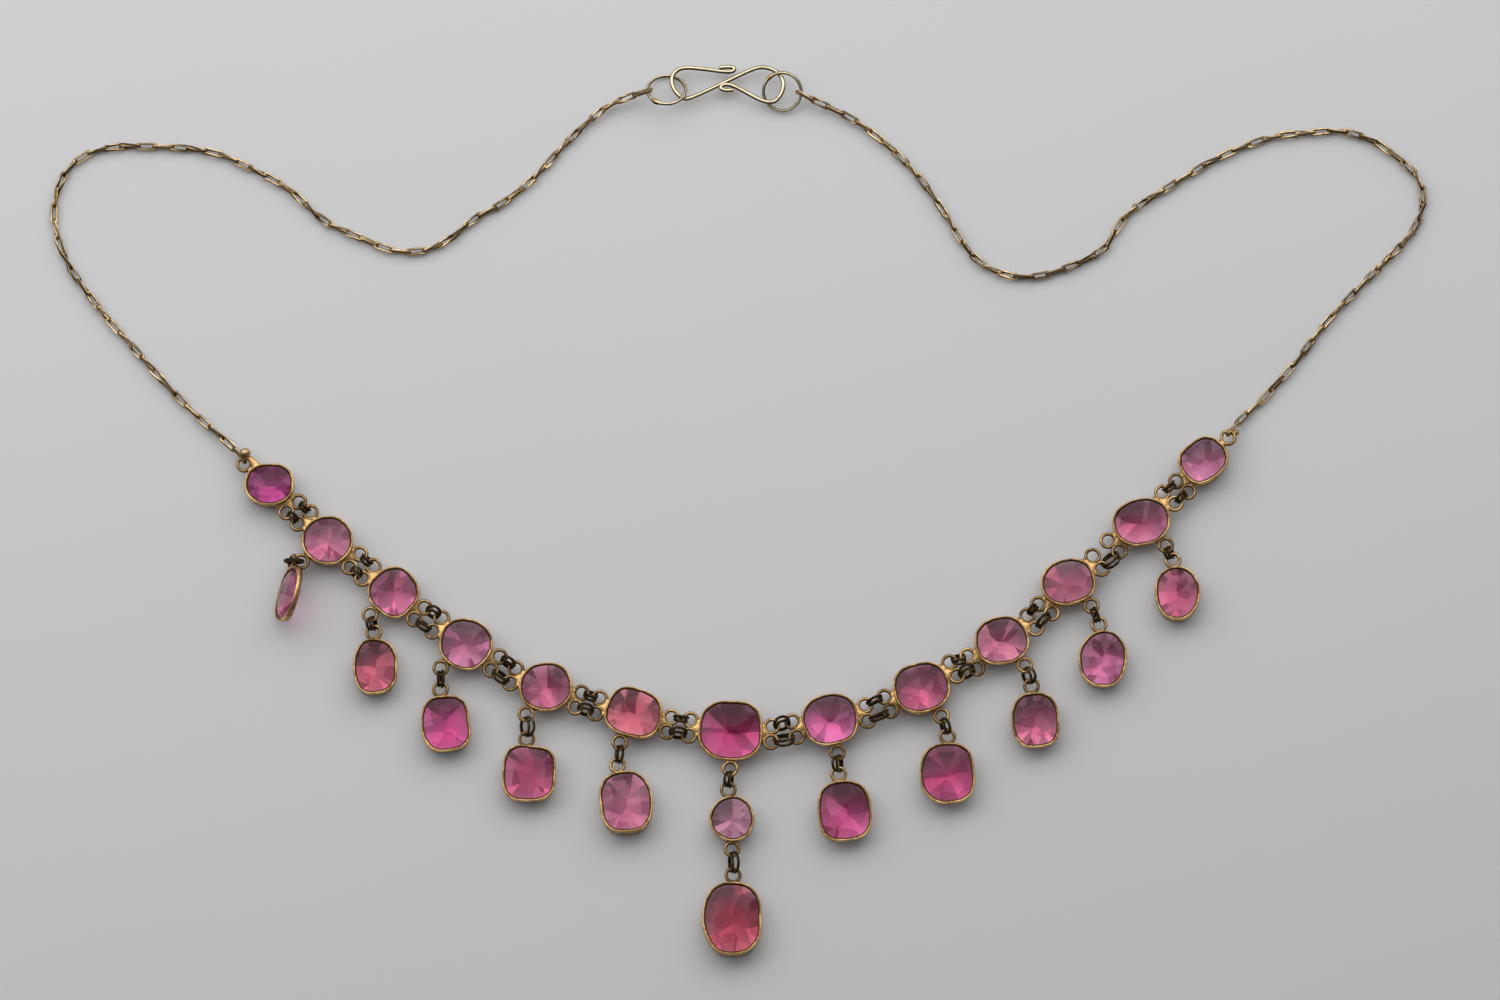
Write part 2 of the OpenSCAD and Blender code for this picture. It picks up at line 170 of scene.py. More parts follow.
# Routes of the chains from the end stone's lug to the clasp: x, y and, where they rise, the height
CHAIN_Z = 0.57
LEFT_ROUTE = [
    (-59.45, 5.6, 1.4), (-60.7, 7.2, 1.0), (-64.8, 10.6), (-69.0, 14.8), (-73.2, 19.6),
    (-76.2, 22.8), (-78.2, 25.5), (-80.2, 28.1), (-81.6, 30.7), (-82.6, 33.9), (-82.6, 37.0),
    (-81.8, 39.6), (-80.6, 41.4), (-78.5, 42.9), (-75.4, 43.6), (-71.9, 43.6), (-68.4, 43.5),
    (-65.3, 43.2), (-62.4, 42.6), (-60.5, 41.7), (-55.9, 39.4), (-53.3, 37.6), (-50.7, 34.9),
    (-49.0, 33.9), (-45.2, 32.3), (-42.1, 30.9), (-38.4, 30.7), (-34.9, 32.2), (-32.2, 34.8),
    (-28.6, 36.6), (-25.1, 39.4), (-22.4, 42.4), (-19.8, 45.2), (-17.2, 47.6, 0.8),
    (-15.1, 49.0, 1.2), (-10.8, 50.4, 1.9),
]
RIGHT_ROUTE = [
    (58.6, 8.9, 1.9), (59.5, 9.9, 1.2), (60.5, 11.0), (62.0, 12.2), (64.8, 15.2), (67.4, 18.2),
    (68.9, 20.3), (71.1, 23.0), (73.8, 25.8), (76.6, 28.6), (79.2, 31.2), (80.5, 32.5),
    (81.6, 34.2), (82.2, 35.9), (82.4, 37.5), (82.05, 39.2), (81.0, 40.8), (79.4, 42.1),
    (77.2, 43.8), (75.2, 44.7), (73.3, 45.4), (71.2, 45.5), (67.2, 45.1), (64.7, 44.9),
    (60.7, 43.6), (57.2, 42.0), (53.6, 39.9), (50.3, 37.8), (46.9, 35.8), (45.2, 33.5),
    (44.2, 31.4), (42.5, 30.2), (39.0, 28.7), (35.3, 27.6), (31.4, 28.0), (28.3, 29.8),
    (26.2, 32.9), (24.2, 36.2), (22.1, 39.2), (19.8, 41.9), (17.0, 44.4), (13.9, 46.8, 0.7),
    (10.1, 48.6, 0.9), (7.0, 50.1, 1.5),
]
HOOK_PATH = [
    (-2.4, 53.12), (-1.5, 53.2), (-0.8, 53.15), (-0.66, 52.85), (-1.0, 52.6), (-2.2, 52.62),
    (-4.0, 52.9), (-7.0, 53.2),
    (-8.1, 52.4), (-8.3, 51.3), (-7.8, 50.1), (-6.8, 49.3), (-5.9, 49.4), (-1.9, 51.3),
    (1.6, 53.0), (2.8, 53.2), (4.0, 52.9), (5.0, 52.1), (5.3, 51.0), (5.0, 49.9),
    (4.3, 49.0), (3.4, 48.9), (2.3, 49.2), (-0.6, 50.85), (-1.6, 51.12), (-2.25, 50.95),
    (-2.35, 50.6), (-1.9, 50.35), (-0.9, 50.4),
]
# The two clasp rings: x, y, z of the middle, tilt, the way the high side looks
Eye = namedtuple("Eye", "x y z tilt high")
LEFT_EYE = Eye(-8.85, 50.4, 1.55, 31, 270)
RIGHT_EYE = Eye(5.1, 50.2, 1.27, 20, 70)

# What white light keeps of its red, green and blue after this many millimetres in a stone
GEM_WAY = 4
# Each stone's look: slot, that colour, and how much painted shade darkens its north side
ROW_GEMS = [
    ("stone_magenta", (0.80, 0.15, 0.48), 0.5),
    ("stone_rose", (0.90, 0.34, 0.52), 0.5),
    ("stone_rose", (0.90, 0.29, 0.50), 0.1),
    ("stone_mauve", (0.88, 0.36, 0.56), 0.1),
    ("stone_magenta", (0.84, 0.29, 0.45), 0.2),
    ("stone_coral", (0.98, 0.31, 0.39), 0.1),
    ("stone_magenta", (0.94, 0.22, 0.48), 0.7),
    ("stone_violet", (0.98, 0.30, 0.60), 0.2),
    ("stone_deep_rose", (0.94, 0.28, 0.46), 0.5),
    ("stone_rose", (0.92, 0.38, 0.53), 0.1),
    ("stone_rose", (0.98, 0.32, 0.47), 0.1),
    ("stone_rose", (0.94, 0.32, 0.52), 0.1),
    ("stone_violet", (0.92, 0.35, 0.58), 0.1),
]
DROP_GEMS = [
    ("stone_mauve", (0.70, 0.24, 0.38), 0.2),
    ("stone_coral", (0.84, 0.24, 0.34), 0.2),
    ("stone_magenta", (0.82, 0.18, 0.44), 0.1),
    ("stone_deep_rose", (0.82, 0.22, 0.40), 0.4),
    ("stone_mauve", (0.90, 0.34, 0.52), 0.2),
    ("stone_coral", (0.88, 0.22, 0.31), 0.2),
    ("stone_deep_rose", (0.92, 0.24, 0.50), 0.3),
    ("stone_magenta", (0.90, 0.22, 0.46), 0.4),
    ("stone_rose", (0.92, 0.32, 0.48), 0.35),
    ("stone_violet", (0.92, 0.34, 0.58), 0.25),
    ("stone_rose", (0.84, 0.25, 0.40), 0.2),
]
ROUND_GEM = ("stone_mauve", (0.96, 0.50, 0.68), 0.1)
# Stones, counted from 1, that are cut with few, large facets
FEW_FACETS = (7, 8, 11, 12, 13)
FEW_DROPS = (3, 7, 8)

# Seeds of the random draws. A stone's number is added to the first four
ROW_STONE_SEED = 100
ROW_SETTING_SEED = 200
DROP_STONE_SEED = 300
DROP_SETTING_SEED = 400
ROUND_SEED = 500
ROW_RING_SEED = 41
DROP_RING_SEED = 43
HOOK_SEED = 7

UP = Vector((0, 0, 1))


# Places

def cosd(angle):
    return math.cos(math.radians(angle))


def sind(angle):
    return math.sin(math.radians(angle))


def spun(angle, axis):
    return Matrix.Rotation(math.radians(angle), 4, axis)


def laid(x, y, z=CHAIN_Z):
    """A place at height z, from the place where the slanting view shows it."""
    return Vector((x - CENTRE_X, (y - z * sind(SLANT)) / cosd(SLANT) - CENTRE_Y, z))


def reach(stone, out, angle):
    """Distance from a stone's middle to its outline, which isn't quite even, grown by out."""
    across = abs(cosd(angle - stone.turn)) / (stone.width / 2 + out)
    upwards = abs(sind(angle - stone.turn)) / (stone.height / 2 + out)
    even = (across ** stone.squareness + upwards ** stone.squareness) ** (-1 / stone.squareness)
    threes = THREE_HIGH * sind(3 * angle + THREE_TURN * stone.x)
    fives = FIVE_HIGH * sind(5 * angle + FIVE_TURN * stone.y)
    return even * (1 + threes + fives)


def girdle_height(stone):
    """Height of a leaning stone's girdle when it touches the surface."""
    half = reach(stone, 0, stone.lean_way)
    culet = PAVILION_H * cosd(stone.lean) + CULET_SHARE * half * sind(stone.lean)
    wall = WALL_DOWN * cosd(stone.lean) + (half + WALL_OUT) * sind(stone.lean)
    return max(culet, wall)


def placed(stone):
    """From a stone's own frame to the necklace's."""
    z = girdle_height(stone)
    seen = laid(stone.x, stone.y, z + RIM_UP)
    axis = Vector((-sind(stone.lean_way), cosd(stone.lean_way), 0))
    return Matrix.Translation((seen.x, seen.y, z)) @ spun(stone.lean, axis)


def polar(radius, angle, z):
    return Vector((radius * cosd(angle), radius * sind(angle), z))


def lug_at(stone, angle, out, height):
    """A lug's middle in the stone's frame, at the height that it has above the surface."""
    radius = reach(stone, 0, angle) + out
    down = radius * cosd(angle - stone.lean_way) * sind(stone.lean)
    return polar(radius, angle, (height - girdle_height(stone) + down) / cosd(stone.lean))


def row_lug(i, k):
    way = ROW_LUGS[i][k]
    if k == BOTTOM_LUG:
        return lug_at(ROW[i], way, BOTTOM_REACH, LUG_HIGH)
    other = ROW_LUGS[i][k ^ 1]
    if other is not None:
        way += (other - way) * PAIR_CLOSER
    return lug_at(ROW[i], way, SIDE_REACH, LUG_LOW if k < LEFT_LUGS else LUG_HIGH)


def drop_lug(i):
    stone, angle = DROPS[i], DROP_LUGS[i]
    if i == TURNED_DROP:
        return polar(reach(stone, DROP_REACH, angle), angle, 0)
    return lug_at(stone, angle, DROP_REACH, LUG_LOW)


def round_lug(k):
    return lug_at(ROUND_STONE, ROUND_LUGS[k], DROP_REACH, LUG_HIGH if k else LUG_LOW)


def corner_cut(path):
    """The path with its corners cut once, its ends in place."""
    cut = [path[0]]
    for before, here, after in zip(path, path[1:], path[2:]):
        cut += [(before + here * 3) / 4, (here * 3 + after) / 4]
    return cut + [path[-1]]


def along(path, length):
    """The point at a length of a path."""
    for start, end in zip(path, path[1:]):
        step = (end - start).length
        if length <= step:
            return start.lerp(end, length / step)
        length -= step
    return path[-1]


def turned(direction, roll):
    """A frame whose X runs along direction, rolled about it from level."""
    level = math.hypot(direction.x, direction.y)
    return (
        Matrix.Rotation(math.atan2(direction.y, direction.x), 4, "Z")
        @ Matrix.Rotation(-math.atan2(direction.z, level), 4, "Y")
        @ spun(roll, "X")
    )


def all_round(count):
    """So many angles evenly round a circle."""
    return [360 * i / count for i in range(count)]


def waves(rng, counts, size):
    """A smooth wandering value round a circle, as a function of the angle in degrees."""
    parts = [(n, rng.uniform(0, 360), rng.uniform(0.5, 1) * size / math.sqrt(n)) for n in counts]
    return lambda angle: sum(high * sind(n * angle + phase) for n, phase, high in parts)


# Meshes

def shown(name, data):
    """An object in the scene that shows a mesh, camera or lamp."""
    thing = bpy.data.objects.new(name, data)
    bpy.context.scene.collection.objects.link(thing)
    return thing


# The rounded end of a wire: how far it comes out and where its shoulder is, as shares
END_OUT = 0.6
SHOULDER = 0.7
LUMP_ROWS = 8
LUMP_SIDES = 14
# Edges that bend more than this stay sharp
SHARP = math.radians(50)


class Shape:
    """Points and faces of one piece, in millimetres, and what its finish needs to know of them.

    Each point has grime and painted shade, darkest in the recesses and on the wires' sides, and solder, the
    orange metal. Each face of a stone has a painted light: painted shade below 1 where it is dark, and a
    painted sparkle above 1 where it flashes."""

    def __init__(self):
        self.points = []
        self.grime_and_shade = []
        self.solder = []
        self.faces = []
        self.painted_facet_lights = []

    def put(self, point, grime_and_shade=0.0, solder=0.0):
        self.points.append(point)
        self.grime_and_shade.append(grime_and_shade)
        self.solder.append(solder)
        return len(self.points) - 1

    def loft(self, rows, round_trip=False):
        """Faces between closed rows of points, and from the last to the first on a round trip."""
        count = len(rows[0])
        pairs = list(zip(rows, rows[1:]))
        if round_trip:
            pairs.append((rows[-1], rows[0]))
        for low, high in pairs:
            for j in range(count):
                k = (j + 1) % count
                self.faces.append((low[j], low[k], high[k], high[j]))

    def cap(self, row, out):
        """A rounded end on a row of points, bulging by the vector out."""
        middle = sum((self.points[i] for i in row), Vector()) / len(row)
        inner = []
        for i in row:
            near = middle + (self.points[i] - middle) * SHOULDER + out * SHOULDER
            inner.append(self.put(near, self.grime_and_shade[i], self.solder[i]))
        self.loft([row, inner])
        tip = self.put(middle + out, self.grime_and_shade[row[0]], self.solder[row[0]])
        for j, i in enumerate(inner):
            self.faces.append((i, inner[(j + 1) % len(inner)], tip))

    def wire(self, path, section, wear_and_shade, place, sides, painted_side_shade, closed=True, twist=None):
        """A wire along a path that is level in a frame of its own, from which place sets it down.

        section gives its half width, half height and roundness at a share of the way along it. The wear
        function gives grime, with painted shade on the bend's inside, and solder, from that share and from
        how far a point looks to the bend's inside. The flanks value is painted shade on the wire's sides.
        twist moves the points first."""
        count = len(path)
        rows = []
        for i, point in enumerate(path):
            before = path[(i - 1) % count] if closed else path[max(i - 1, 0)]
            after = path[(i + 1) % count] if closed else path[min(i + 1, count - 1)]
            side = (after - before).cross(UP).normalized()
            up = side.cross(after - before).normalized()
            share = i / count if closed else i / (count - 1)
            half_w, half_h, roundness = section(share)
            row = []
            for j in range(sides):
                angle = 2 * math.pi * (j + 0.5) / sides
                cos, sin = math.cos(angle), math.sin(angle)
                spot = point + side * half_w * math.copysign(abs(cos) ** roundness, cos)
                spot += up * half_h * math.copysign(abs(sin) ** roundness, sin)
                grime_and_shade, solder = wear_and_shade(share, -cos)
                spot = place @ (twist(spot) if twist else spot)
                # Painted shade on the wire's sides, added to its grime
                row.append(self.put(spot, grime_and_shade + painted_side_shade * cos ** 2, solder))
            rows.append(row)
        self.loft(rows, closed)
        if not closed:
            for end, inner, share in ((0, 1, 0), (-1, -2, 1)):
                out = (place.to_3x3() @ (path[end] - path[inner])).normalized()
                self.cap(rows[end], out * section(share)[0] * END_OUT)

    def lump(self, middle, radii, rng, solder, grime_and_shade):
        """A drop of solder, slightly uneven."""
        uneven = waves(rng, (2, 3, 4), 0.07)
        rows = []
        for i in range(1, LUMP_ROWS):
            tilt = 180 * i / LUMP_ROWS
            row = []
            for angle in all_round(LUMP_SIDES):
                swell = 1 + uneven(angle) * sind(tilt)
                spot = Vector((
                    radii[0] * sind(tilt) * cosd(angle) * swell,
                    radii[1] * sind(tilt) * sind(angle) * swell,
                    radii[2] * cosd(tilt),
                ))
                row.append(self.put(middle + spot, grime_and_shade, solder))
            rows.append(row)
        self.loft(rows)
        for row, z in ((rows[0], radii[2]), (rows[-1], -radii[2])):
            tip = self.put(middle + UP * z, grime_and_shade, solder)
            for j, i in enumerate(row):
                self.faces.append((i, row[(j + 1) % LUMP_SIDES], tip))

    def piece(self, name, finish, node, smooth=True):
        """The shape as a piece of the necklace that stands for a CAD node."""
        mesh = bpy.data.meshes.new(name)
        mesh.from_pydata([p * MM for p in self.points], [], self.faces)
        # The first mark is grime together with painted shade
        for layer, values in (("grime_and_shade", self.grime_and_shade), ("solder", self.solder)):
            mesh.attributes.new(layer, "FLOAT", "POINT").data.foreach_set("value", values)
        if self.painted_facet_lights:
            mesh.attributes.new("painted_facet_light", "FLOAT", "FACE").data.foreach_set("value", self.painted_facet_lights)
        shell = bmesh.new()
        shell.from_mesh(mesh)
        bmesh.ops.recalc_face_normals(shell, faces=shell.faces)
        shell.to_mesh(mesh)
        shell.free()
        mesh.polygons.foreach_set("use_smooth", [smooth] * len(mesh.polygons))
        if smooth:
            mesh.set_sharp_from_angle(angle=SHARP)
        mesh.materials.append(finish)
        thing = shown(name, mesh)
        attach(thing, "root")
        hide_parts(node)


# Finishes

SOLDER_COLOUR = (0.78, 0.47, 0.19)
FLOOR_COLOUR = (0.88, 0.88, 0.89)
GEM_IOR = 1.33
# Shares of a stone's colour due to each surface, to each surface in its shadow, and to its inside
SURFACE_SHARE = 0.24
SHADOW_SHARE = 0.15
VOLUME_SHARE = 0.6
# Colour of a stone's specks, and the painted shade colour of its darkest facets
SPECK = (0.40, 0.16, 0.20)
PAINTED_DARK_FACET = (0.32, 0.06, 0.14)
# Painted sparkle: the glow that a flashing facet gives though it is no lamp, and the power that makes its
# colour deeper than the stone's
PAINTED_SPARKLE = 0.55
PAINTED_SPARKLE_DEPTH = 1.2
# How far the noise is moved for each step of a stone's seed, in metres
NOISE_X = 0.37
NOISE_Y = 0.11


class Socket:
    """A value in a finish, so that shader maths reads as Python."""

    def __init__(self, finish, socket):
        self.finish = finish
        self.socket = socket

    def maths(self, operation, *values, **settings):
        settings["operation"] = operation
        return self.finish.add("ShaderNodeMath", settings, dict(enumerate(values)))

    def __add__(self, other):
        return self.maths("ADD", self, other)

    def __sub__(self, other):
        return self.maths("SUBTRACT", self, other)

    def __mul__(self, other):
        return self.maths("MULTIPLY", self, other)

    def __rsub__(self, other):
        return self.maths("SUBTRACT", other, self)

    __radd__ = __add__
    __rmul__ = __mul__

    def kept(self):
        """The value held between 0 and 1."""
        return self.maths("ADD", self, 0, use_clamp=True)


class Finish:
    """A material, or the light of the room, built node by node."""

    def __init__(self, owner):
        self.owner = owner
        owner.use_nodes = True
        self.tree = owner.node_tree
        self.tree.nodes.clear()

    def add(self, kind, settings=None, values=None, output=0):
        """A node of a kind: first its settings, then the values or links of its sockets."""
        node = self.tree.nodes.new(kind)
        for key, value in (settings or {}).items():
            setattr(node, key, value)
        for key, value in (values or {}).items():
            if isinstance(value, Socket):
                self.tree.links.new(value.socket, node.inputs[key])
            elif isinstance(value, tuple) and len(value) == 3 and node.inputs[key].type == "RGBA":
                node.inputs[key].default_value = (*value, 1)
            else:
                node.inputs[key].default_value = value
        return Socket(self, node.outputs[output]) if node.outputs else None

    def place(self):
        return self.add("ShaderNodeTexCoord", output="Object")

    def mark(self, name):
        """A value that the mesh carries at its points."""
        return self.add("ShaderNodeAttribute", {"attribute_name": name}, output="Fac")

    def noise(self, size, detail, roughness, place=None):
        """Noise whose features are about this many millimetres wide."""
        place = place or self.place()
        values = {"Vector": place, "Scale": 1 / (size * MM), "Detail": detail, "Roughness": roughness}
        return self.add("ShaderNodeTexNoise", None, values)

    def step(self, value, low, high, start=0, end=1):
        """The number start for values below low and end for values above high, smooth between."""
        settings = {"interpolation_type": "SMOOTHSTEP"}
        values = {"Value": value, "From Min": low, "From Max": high, "To Min": start, "To Max": end}
        return self.add("ShaderNodeMapRange", settings, values)

    def mix(self, share, first, second):
        """A colour between two."""
        return self.add("ShaderNodeMix", {"data_type": "RGBA"}, {0: share, 6: first, 7: second}, output=2)

    def bump(self, height, depth, strength=1.0):
        """A normal from a height of this many millimetres."""
        values = {"Height": height, "Distance": depth * MM, "Strength": strength}
        return self.add("ShaderNodeBump", None, values, output="Normal")

    def shader(self, **values):
        """A Principled shader. An underscore in a name stands for a space."""
        named = {key.replace("_", " "): value for key, value in values.items()}
        return self.add("ShaderNodeBsdfPrincipled", None, named)

    def done(self, **ends):
        """The material or the room, from its Surface and, for a stone, its Volume."""
        kind = "World" if isinstance(self.owner, bpy.types.World) else "Material"
        self.add(f"ShaderNodeOutput{kind}", None, ends)
        return self.owner


def old_gold(name, bright, worn, dark, roughness, tarnish, dents=0.04):
    """Hand-worked gold: bright where it is rubbed, worn where it has tarnished, and dark with grime and
    with painted shade in its recesses and on its wires' sides.

    tarnish runs from 0 to 1, and dents is the depth of the bumps in millimetres."""
    f = Finish(bpy.data.materials.new(name))
    place = f.place()
    cloud = f.noise(1.6, 4, 0.6, place)
    patch = f.noise(0.5, 3, 0.5, place)
    fine = f.noise(0.09, 2, 0.6, place)
    grime_and_shade = f.mark("grime_and_shade")
    solder = f.mark("solder")
    brown = f.step(cloud * 0.6 + patch * 0.4, 0.62 - 0.3 * tarnish, 0.72 - 0.16 * tarnish)
    colour = f.mix(brown * 0.8, bright, worn)
    colour = f.mix(f.step(solder + patch * 0.3, 0.35, 0.95), colour, SOLDER_COLOUR)
    # Grime and painted shade darken the metal towards the dark colour
    soot_and_shade = (f.step(grime_and_shade + patch * 0.25 - 0.12, 0.15, 0.85) * 0.92).kept()
    colour = f.mix(soot_and_shade, colour, dark)
    rough = (roughness + brown * 0.16 + soot_and_shade * 0.3 + (fine - 0.5) * 0.18).kept()
    shader = f.shader(
        Base_Color=colour,
        Metallic=1.0,
        Roughness=rough,
        Normal=f.bump(fine * 0.35 + patch, dents),
    )
    return f.done(Surface=shader)


def gem(name, kept, seed, shadow):
    """A clear stone that colours light on its way through, as kept says for GEM_WAY millimetres.

    shadow is the share of light that each surface lets through into its shadow."""
    f = Finish(bpy.data.materials.new(name))
    moved = (seed * NOISE_X, seed * NOISE_Y, 0)
    place = f.add("ShaderNodeVectorMath", {"operation": "ADD"}, {0: f.place(), 1: moved})
    cloud = f.noise(2.4, 2, 0.5, place)
    specks = f.step(f.noise(0.35, 4, 0.7, place), 0.68, 0.76)
    tint = tuple(part ** SURFACE_SHARE for part in kept)
    colour = f.mix(f.step(cloud, 0.35, 0.75) * 0.2, tint, tuple(0.8 * part for part in tint))
    colour = f.mix(specks * 0.3, colour, SPECK)
    # Each facet's painted light: below 1 painted shade towards the darkest facet colour, above 1 a painted
    # sparkle
    painted_facet_light = f.mark("painted_facet_light")
    colour = f.mix((1 - painted_facet_light).kept(), colour, PAINTED_DARK_FACET)
    # Painted sparkle: flashing facets glow in the stone's colour
    painted_sparkle_glow = tuple(PAINTED_SPARKLE * part ** PAINTED_SPARKLE_DEPTH for part in kept)
    fine = f.noise(0.3, 3, 0.6, place)
    glass = f.shader(
        Base_Color=colour,
        Roughness=(0.02 + cloud * 0.05).kept(),
        IOR=GEM_IOR,
        Transmission_Weight=1.0,
        Emission_Color=f.mix((painted_facet_light - 1).kept(), (0, 0, 0), painted_sparkle_glow),
        Emission_Strength=1.0,
        Normal=f.bump(fine, 0.002, 0.5),
    )
    shade = tuple(shadow * part ** SHADOW_SHARE for part in kept)
    clear = f.add("ShaderNodeBsdfTransparent", None, {"Color": shade})
    shadow_ray = f.add("ShaderNodeLightPath", output="Is Shadow Ray")
    surface = f.add("ShaderNodeMixShader", None, {0: shadow_ray, 1: glass, 2: clear})
    taken = [-math.log(part) * VOLUME_SHARE / (GEM_WAY * MM) for part in kept]
    density = max(taken)
    volume = f.add("ShaderNodeVolumeAbsorption", None, {
        "Color": tuple(1 - part / density for part in taken),
        "Density": density,
    })
    return f.done(Surface=surface, Volume=volume)


def paper(name):
    """The plain pale floor."""
    f = Finish(bpy.data.materials.new(name))
    colour = f.mix(f.noise(30, 2, 0.5), FLOOR_COLOUR, tuple(0.985 * part for part in FLOOR_COLOUR))
    return f.done(Surface=f.shader(Base_Color=colour, Roughness=0.9, Specular_IOR_Level=0.2))


# The last colour of each gold is that of grime and of painted shade
SETTING_GOLD = old_gold(
    "setting_gold", (0.86, 0.57, 0.25), (0.42, 0.22, 0.07), (0.045, 0.018, 0.006), 0.18, tarnish=0.7)
RING_GOLD = old_gold(
    "ring_gold", (0.46, 0.33, 0.17), (0.13, 0.075, 0.035), (0.012, 0.008, 0.005), 0.2, tarnish=0.8)
CHAIN_GOLD = old_gold(
    "chain_gold", (0.94, 0.70, 0.38), (0.50, 0.30, 0.11), (0.022, 0.010, 0.003), 0.16, 0.6, dents=0.02)
CLASP_GOLD = old_gold(
    "clasp_gold", (0.96, 0.82, 0.54), (0.56, 0.42, 0.20), (0.020, 0.010, 0.003), 0.16, 0.45, dents=0.01)


# Stones

BLANK_SIDES = 72
# How many facets go round, the slope of the stars in degrees, how far in they go as a share of the
# stone's half width, and how uneven the hand work is
Cut = namedtuple("Cut", "count star_slope star_share uneven")
MANY = Cut(8, 15, 0.40, 1.5)
FEW = Cut(5, 11, 0.64, 2.2)
# How far off a facet may be in direction, slope and place
OFF_DIRECTION = 2.5
OFF_SLOPE = 1.2
OFF_OUT = 0.04
# Slopes of the crown and of the steepest pavilion, and how much more at the girdle
CROWN_SLOPE = 23
PAVILION_MOST = 28
CROWN_MORE = 3
PAVILION_MORE = 1.5
# How far in the stars start and the pavilion reaches the culet's level, as shares of the half width
STAR_IN = 0.2
CULET_IN = 0.96
# Height at which the crown's facets meet the outline
BEVEL = 0.16
# Width by which the facets' edges are rounded off
EDGE_WEAR = 0.015
# Points closer together than this become one where a facet cuts
WELD = 0.0005

# A face smaller than this is part of a rounded edge, and a facet above the second area is large
EDGE_AREA = 0.05
LARGE_AREA = 1.2
# The painted light of a rounded edge's faces: a little painted shade
EDGE_PAINTED_LIGHT = 0.8
# A face whose normal is this much upright is the table or the culet
FLAT = 0.99
# Painted light of the pavilion's facets on the south side: above 1 a painted sparkle, below 1 painted shade
SOUTH_LARGE = (0.8, 1.2, 1.5)
SOUTH_SMALL = (0.2, 0.8, 1.3, 1.9)
# Painted shade on its other facets, in the middle and on the north side. Below 0 they get a painted sparkle
MIDDLE_PAINTED_SHADE = (-0.3, 0, 0, 0.5)
NORTH_FACET_PAINTED_SHADE = (-0.35, 0, 0.3, 0.6, 0.8)
# Painted shade on the crown's facets: the inner ones, the outer ones on the south side, and the others.
# Below 0 they get a painted sparkle
INNER_PAINTED_SHADE = (0, 0, 0, 0.45)
OUTER_SOUTH_PAINTED_SHADE = (0, 0, 0.5)
OUTER_PAINTED_SHADE = (-0.25, 0.1, 0.35, 0.6)
# Where these sides end, from 0 at a stone's south end to 1 at its north end
SOUTH_TO = 0.4
MIDDLE_TO = 0.65
OUTER_SOUTH_TO = 0.3
# The crown's inner facets lie within this share of the half width
INNER_SHARE = 0.62
# How much painted shade the north side and the table get, as a share of the stone's painted north shade
TABLE_PAINTED_SHADE = 0.2
NORTH_SIDE_PAINTED_SHADE = 0.4

# The turned drop's shadow, as for gem()
TURNED_SHADOW = 0.4


class Blank:
    """A piece of rough with a stone's outline, from which facets are ground."""

    def __init__(self, stone):
        self.mesh = bmesh.new()
        self.outline = [polar(reach(stone, GIRDLE_OUT, a), a, 0) for a in all_round(BLANK_SIDES)]
        foot = [self.mesh.verts.new(p - UP * PAVILION_H) for p in self.outline]
        head = [self.mesh.verts.new(p + UP * CROWN_H) for p in self.outline]
        self.mesh.faces.new(foot[::-1])
        self.mesh.faces.new(head)
        for i in range(BLANK_SIDES):
            k = (i + 1) % BLANK_SIDES
            self.mesh.faces.new((foot[i], foot[k], head[k], head[i]))

    def width(self, direction):
        """How far the outline comes out in a direction."""
        return max(p.dot(polar(1, direction, 0)) for p in self.outline)

    def facet(self, direction, slope, out, height):
        """Grinds a facet that looks in a direction, through a height at a distance out."""
        facing = 1 if height >= 0 else -1
        normal = polar(sind(slope), direction, cosd(slope) * facing)
        cut = bmesh.ops.bisect_plane(
            self.mesh, geom=self.mesh.verts[:] + self.mesh.edges[:] + self.mesh.faces[:], dist=WELD,
            plane_co=polar(out, direction, height), plane_no=normal, clear_outer=True)
        edges = [part for part in cut["geom_cut"] if isinstance(part, bmesh.types.BMEdge)]
        if len(edges) > 2:
            bmesh.ops.contextual_create(self.mesh, geom=edges)

    def ring(self, count, first, rng, slope_of, out_of, height, uneven=1.0):
        """Facets all round, a little uneven as hand work is."""
        for k in range(count):
            direction = first + 360 * k / count + rng.uniform(-OFF_DIRECTION, OFF_DIRECTION) * uneven
            width = self.width(direction)
            slope = slope_of(width) + rng.uniform(-OFF_SLOPE, OFF_SLOPE) * uneven
            self.facet(direction, slope, out_of(width) + rng.uniform(-OFF_OUT, OFF_OUT), height)


def painted_facet_light_of(face, width, painted_north_shade, rng):
    """The painted light of a facet: painted shade below 1, more on the north side and by chance, and a
    painted sparkle above 1.
    """
    if face.calc_area() < EDGE_AREA:
        return EDGE_PAINTED_LIGHT
    if abs(face.normal.z) > FLAT:
        return 1 - TABLE_PAINTED_SHADE * painted_north_shade
    middle = face.calc_center_median()
    north = 0.5 + 0.5 * middle.normalized().y
    if face.normal.z < 0:
        if north < SOUTH_TO:
            return rng.choice(SOUTH_LARGE if face.calc_area() > LARGE_AREA else SOUTH_SMALL)
        # dull is painted shade on the facet, and below 0 a painted sparkle
        dull = rng.choice(MIDDLE_PAINTED_SHADE if north < MIDDLE_TO else NORTH_FACET_PAINTED_SHADE)
    elif middle.xy.length < INNER_SHARE * width:
        dull = rng.choice(INNER_PAINTED_SHADE)
    else:
        dull = rng.choice(OUTER_SOUTH_PAINTED_SHADE if north < OUTER_SOUTH_TO else OUTER_PAINTED_SHADE)
    return max(0, 1 - NORTH_SIDE_PAINTED_SHADE * painted_north_shade * north - dull)


